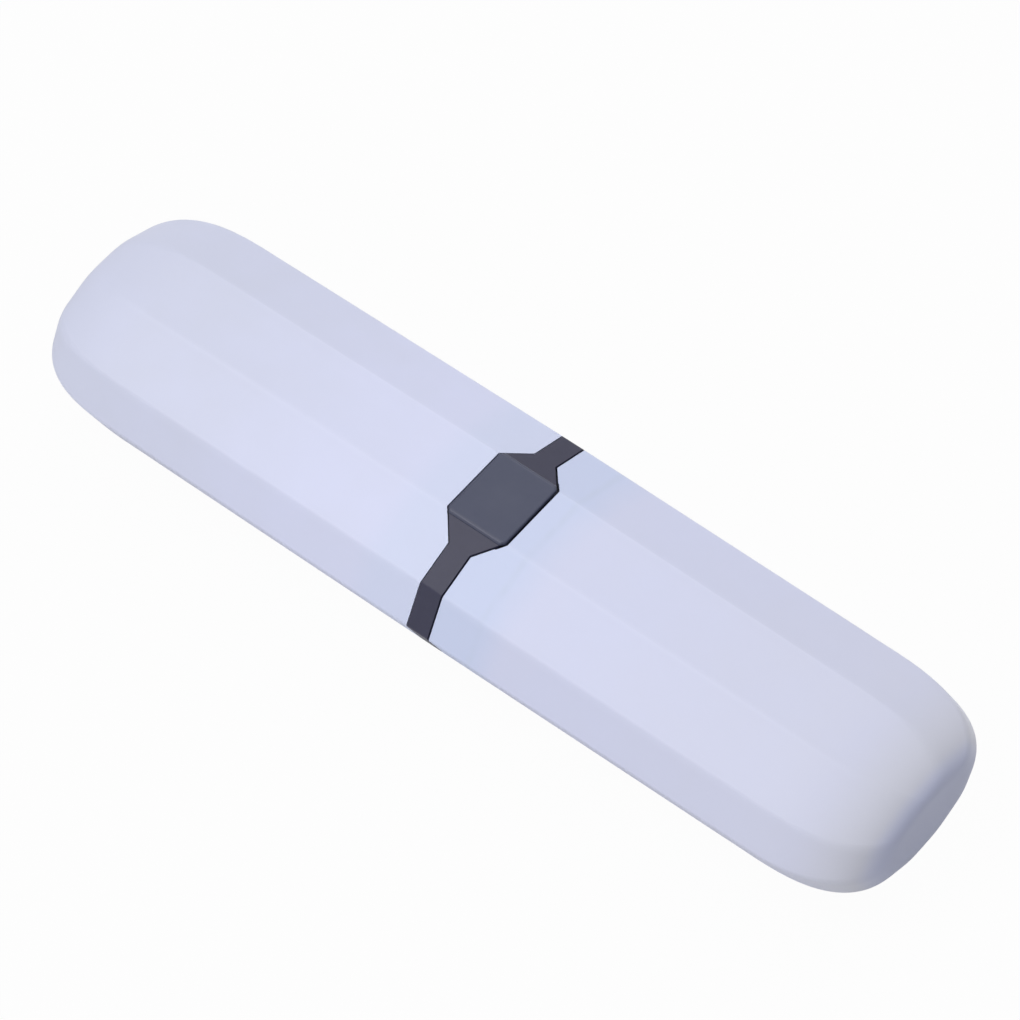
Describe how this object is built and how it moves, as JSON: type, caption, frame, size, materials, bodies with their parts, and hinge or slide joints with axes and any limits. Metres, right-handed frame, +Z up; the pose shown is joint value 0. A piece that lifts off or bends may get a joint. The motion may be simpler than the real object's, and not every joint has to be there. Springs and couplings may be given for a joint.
{
  "type": "toothbrush case",
  "caption": "Travel toothbrush case: two faceted cups with rounded ends, joined by a dark neck band with a push-button latch.",
  "frame": {"origin": "Middle of the band, on the ground under the case's bottom facet.", "axes": "X runs along the case with the lid half at +X, Y runs across it, and Z is up out of the button."},
  "size_m": [0.2154, 0.0558, 0.0326],
  "materials": {
    "base_plastic": "pale lavender-white polypropylene, satin moulded",
    "lid_plastic": "pale lavender-white polypropylene, slightly milky, satin moulded",
    "sleeve_plastic": "dark grey ABS, satin moulded",
    "band_plastic": "dark grey ABS, fine satin moulded",
    "button_plastic": "dark grey ABS, fine satin moulded",
    "lever_plastic": "natural white acetal",
    "pin_steel": "ground stainless steel",
    "spring_steel": "drawn stainless spring wire",
    "cover_plastic": "dark grey ABS, satin moulded",
    "screw_steel": "stainless steel pan-head screws"
  },
  "bodies": {
    "base": {"base_shell": "base_plastic", "neck_sleeve": "sleeve_plastic", "band_ring": "band_plastic", "latch_cover": "cover_plastic", "cover_screws": "screw_steel", "pivot_pin": "pin_steel", "return_spring": "spring_steel"},
    "lid": {"lid_shell": "lid_plastic"},
    "button": {"button": "button_plastic"},
    "latch": {"latch_lever": "lever_plastic"}
  },
  "joints": [
    {"name": "lid_slide", "type": "slide", "parent": "base", "child": "lid", "axis": [1, 0, 0], "range_m": [0, 0.07]},
    {"name": "button_press", "type": "slide", "parent": "base", "child": "button", "axis": [0, 0, -1], "range_m": [0, 0.001], "stiffness_N_per_m": 2000},
    {"name": "lever_tilt", "type": "hinge", "parent": "base", "child": "latch", "pos_m": [-0.0095, 0, 0.02729], "axis": [0, 1, 0], "range_deg": [0, 6.1], "deforming": ["return_spring"]}
  ],
  "couplings": [
    {"joint": "lever_tilt", "follows": "button_press", "rad_per_m": 105.26}
  ]
}
